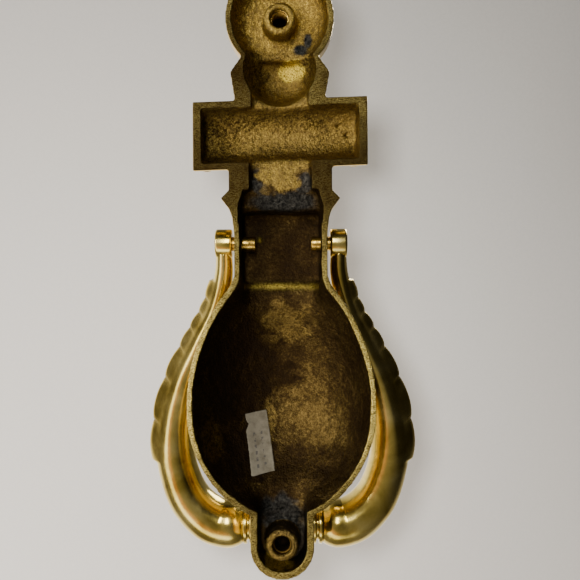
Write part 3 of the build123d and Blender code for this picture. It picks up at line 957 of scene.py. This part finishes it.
def label(casting, material):
    """Torn paper that lies on the sandy floor."""
    rows = 90
    columns = 30
    work = bmesh.new()
    work.from_mesh(casting.data)
    tree = BVHTree.FromBMesh(work)
    work.free()
    turn = np.array(
        [[math.cos(LABEL_TILT), -math.sin(LABEL_TILT)], [math.sin(LABEL_TILT), math.cos(LABEL_TILT)]]
    )
    flat = []
    spread = []
    for row in range(rows):
        along = row / (rows - 1)
        seed_point = np.array([[0.0, 0.0, 40 * along]])
        ragged = 0.10 * noise(seed_point, 0.9, 51)[0]
        tear = 0.9 * math.exp(-(((along - 0.80) / 0.05) ** 2)) + 0.5 * (along > 0.82)
        left = -LABEL_WIDTH / 2 + 0.05 * noise(seed_point, 1.3, 52)[0]
        right = LABEL_WIDTH / 2 - tear - 0.12 + ragged
        for column in range(columns):
            across = column / (columns - 1)
            local = np.array([left + (right - left) * across, (along - 0.5) * LABEL_LENGTH])
            x, z = turn @ local + np.array(LABEL_CENTRE)
            hit = tree.ray_cast(Vector((x * MM, 0, z * MM)), Vector((0, -1, 0)))
            flat.append((x, hit[0].y / MM, z))
            spread.append((across, along))
    points = np.array(flat)
    faces = grid_faces(rows, columns, False)
    mesh = bpy.data.meshes.new("label_sheet")
    mesh.from_pydata([tuple(v) for v in points], [], faces)
    lying = relaxed(points[:, 1], edge_pairs(mesh), 30, 0.5)
    lift = max(0.0, float((points[:, 1] - lying).max()))
    points[:, 1] = lying + min(lift, 0.25) + 0.06
    set_coordinates(mesh, points)
    layer = mesh.uv_layers.new(name="sheet")
    for loop in mesh.loops:
        layer.data[loop.index].uv = spread[loop.vertex_index]
    mesh.shade_smooth()
    piece = bpy.data.objects.new("label_sheet", mesh)
    bpy.context.scene.collection.objects.link(piece)
    mesh.materials.append(material)
    thickness = piece.modifiers.new("thickness", "SOLIDIFY")
    thickness.thickness = 0.12 * MM
    thickness.offset = 0
    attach(piece, "plate")
    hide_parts("label")
    return piece


# Stage


def one_sided(n):
    """Makes a sheet's material clear from behind, as a mesh with its back faces culled is."""
    clear = n.tree.nodes.new("ShaderNodeBsdfTransparent")
    back = n.tree.nodes.new("ShaderNodeNewGeometry").outputs["Backfacing"]
    shown = n.math("SUBTRACT", 1.0, back)
    choose = n.tree.nodes.new("ShaderNodeMixShader")
    n.link(shown, choose.inputs[0])
    n.link(clear.outputs[0], choose.inputs[1])
    n.link(n.shader.outputs[0], choose.inputs[2])
    n.link(choose.outputs[0], n.tree.nodes["Material Output"].inputs["Surface"])


def backdrop():
    """Pale paper behind the object, seen only from the back and lit by its own lamps, with painted light in
    its colour.
    """
    mesh = bpy.data.meshes.new("backdrop")
    corners = [(x * PAPER_HALF, PAPER_Y, z * PAPER_HALF) for x, z in ((1, -1), (-1, -1), (-1, 1), (1, 1))]
    mesh.from_pydata(corners, [], [(0, 1, 2, 3)])
    sheet = bpy.data.objects.new("backdrop", mesh)
    bpy.context.scene.collection.objects.link(sheet)
    for flag in ("visible_diffuse", "visible_glossy", "visible_transmission", "visible_shadow"):
        setattr(sheet, flag, False)
    n = Nodes("backdrop_paper")
    fine = n.noise(900, 3, 0.6)
    split = n.tree.nodes.new("ShaderNodeSeparateXYZ")
    n.link(n.place, split.inputs[0])
    # painted light: the paper is coloured paler towards +X and the bottom, darker towards -X and the top
    sideways = n.math("MULTIPLY", split.outputs[0], 1.2)
    painted_light_slope = n.math("SUBTRACT", sideways, n.math("MULTIPLY", split.outputs[2], 1.3))
    painted_light_level = n.math("ADD", n.math("MULTIPLY", fine, 0.12), n.math("ADD", painted_light_slope, 0.44))
    colour = n.ramp(painted_light_level, [(0.0, (0.30, 0.30, 0.285)), (1.0, (0.80, 0.765, 0.71))])
    n.finish(colour, 0.9, metallic=0.0)
    one_sided(n)
    mesh.materials.append(n.material)
    return sheet


def room():
    """Pale paper in front, a dim room behind, and a low window on the lower +X side with a warm edge."""
    world = bpy.data.worlds.new("room")
    bpy.context.scene.world = world
    world.use_nodes = True
    nodes = world.node_tree.nodes
    links = world.node_tree.links
    place = nodes.new("ShaderNodeTexCoord").outputs["Generated"]
    split = nodes.new("ShaderNodeSeparateXYZ")
    links.new(place, split.inputs[0])

    def graded(value, low, high, stops):
        """Colours picked along a range of a value."""
        span = nodes.new("ShaderNodeMapRange")
        span.inputs["From Min"].default_value = low
        span.inputs["From Max"].default_value = high
        links.new(value, span.inputs["Value"])
        ramp = nodes.new("ShaderNodeValToRGB")
        while len(ramp.color_ramp.elements) < len(stops):
            ramp.color_ramp.elements.new(0.5)
        for element, (position, colour) in zip(ramp.color_ramp.elements, stops):
            element.position = position
            element.color = (*colour, 1)
        links.new(span.outputs["Result"], ramp.inputs["Fac"])
        return ramp.outputs["Color"]

    def blend(kind, factor, first, second):
        node = nodes.new("ShaderNodeMix")
        node.data_type = "RGBA"
        node.blend_type = kind
        for socket, value in ((node.inputs[0], factor), (node.inputs[6], first), (node.inputs[7], second)):
            if isinstance(value, bpy.types.NodeSocket):
                links.new(value, socket)
            else:
                socket.default_value = value
        return node.outputs[2]

    towards_window = nodes.new("ShaderNodeVectorMath")
    towards_window.operation = "DOT_PRODUCT"
    towards_window.inputs[1].default_value = (0.78, 0, -0.62)
    links.new(place, towards_window.inputs[0])
    black = (0, 0, 0)
    height = split.outputs["Y"]
    paper_and_room = [
        (0.0, (0.60, 0.57, 0.53)),
        (0.30, (0.46, 0.43, 0.39)),
        (0.44, (0.050, 0.045, 0.040)),
        (1.0, (0.11, 0.105, 0.10)),
    ]
    base = graded(height, -1, 1, paper_and_room)
    window = [
        (0.0, black),
        (0.12, (3.2, 3.1, 2.9)),
        (0.50, (3.2, 3.0, 2.7)),
        (0.60, (0.85, 0.30, 0.05)),
        (0.85, (0.60, 0.19, 0.03)),
        (1.0, black),
    ]
    band = graded(height, 0.42, 0.94, window)
    side = graded(towards_window.outputs["Value"], 0.22, 0.55, [(0.0, black), (1.0, (1, 1, 1))])
    away_and_near = [(0.0, (0.35, 0.35, 0.35)), (1.0, (4.2, 4.1, 3.8))]
    falloff = graded(towards_window.outputs["Value"], -0.4, 0.5, away_and_near)
    base = blend("MULTIPLY", 1.0, base, falloff)
    light = blend("ADD", 1.0, base, blend("MULTIPLY", 1.0, band, side))
    path = nodes.new("ShaderNodeLightPath")
    seen = blend("MIX", path.outputs["Is Camera Ray"], light, (0.60, 0.58, 0.56, 1))
    links.new(seen, nodes["Background"].inputs["Color"])


def lamp(name, place, target, size, watts, colour):
    light = bpy.data.lights.new(name, "AREA")
    light.shape = "RECTANGLE"
    light.size = size[0]
    light.size_y = size[1]
    light.energy = watts
    light.color = colour
    holder = bpy.data.objects.new(name, light)
    holder.location = place
    holder.rotation_euler = (Vector(target) - Vector(place)).to_track_quat("-Z", "Y").to_euler()
    bpy.context.scene.collection.objects.link(holder)
    return holder


def only_on(light, group_name, members, include):
    """Limits a lamp to the members, or keeps it off them."""
    group = bpy.data.collections.new(group_name)
    for member in members:
        group.objects.link(member)
    light.light_linking.receiver_collection = group
    if not include:
        for item in group.collection_objects:
            item.light_linking.link_state = "EXCLUDE"


def lights(sheet):
    """Window from the +X side, a strip above, a lamp for the front, and the paper's own two lamps."""
    key = lamp("window", (0.78, 0.72, 0.30), (0, 0, 0), (0.35, 0.35), 6.0, (1.0, 0.97, 0.92))
    strip = lamp("ceiling_strip", (0.05, 0.9, 0.35), (0, 0, -0.02), (0.10, 0.4), 4.4, (1.0, 0.98, 0.95))
    front = lamp("front_window", (-0.6, -0.9, 0.7), (0, 0, 0), (0.6, 0.6), 14.0, (1.0, 0.98, 0.95))
    for light in (key, strip, front):
        only_on(light, light.name + "_off_paper", [sheet], False)
    near_place = (0.018, 0.215, 0.012)
    near_target = (0.018, PAPER_Y, 0.012)
    near = lamp("paper_lamp", near_place, near_target, (0.03, 0.03), 1.15, (1.0, 0.985, 0.97))
    wash_place = (0.75, 0.25, -0.60)
    wash = lamp("paper_wash", wash_place, (0, PAPER_Y, 0), (0.3, 0.3), 15.0, (1.0, 0.985, 0.95))
    for light in (near, wash):
        only_on(light, light.name + "_on_paper", [sheet], True)


def camera():
    """Looks straight at the back from 210 mm, a little to one side and rolled very slightly."""
    lens = bpy.data.cameras.new("camera")
    lens.sensor_width = 36
    lens.angle = CAMERA_ANGLE
    lens.clip_start = 0.01
    holder = bpy.data.objects.new("camera", lens)
    holder.location = CAMERA_PLACE
    holder.rotation_euler = (math.radians(90), CAMERA_ROLL, math.radians(180))
    bpy.context.scene.collection.objects.link(holder)
    bpy.context.scene.camera = holder


camera()
paper_sheet = backdrop()
room()
lights(paper_sheet)

brass = cast_material()
polished = handle_material()
pin_brass = pin_material()
casting = backplate(brass)
# painted shade in the tapped holes: the upper stays bright deeper, the lower darkens near its mouth
thread("upper_thread", HOLE_Z, thread_material("tapped_brass_lightly_shaded", 11.0))
thread("lower_thread", -HOLE_Z, thread_material("tapped_brass_deeply_shaded", 3.0))
knocker(polished)
for pin_node in ("pivot_pin_left", "pivot_pin_right"):
    pivot_pin(pin_node, pin_brass)
label(casting, paper_material())
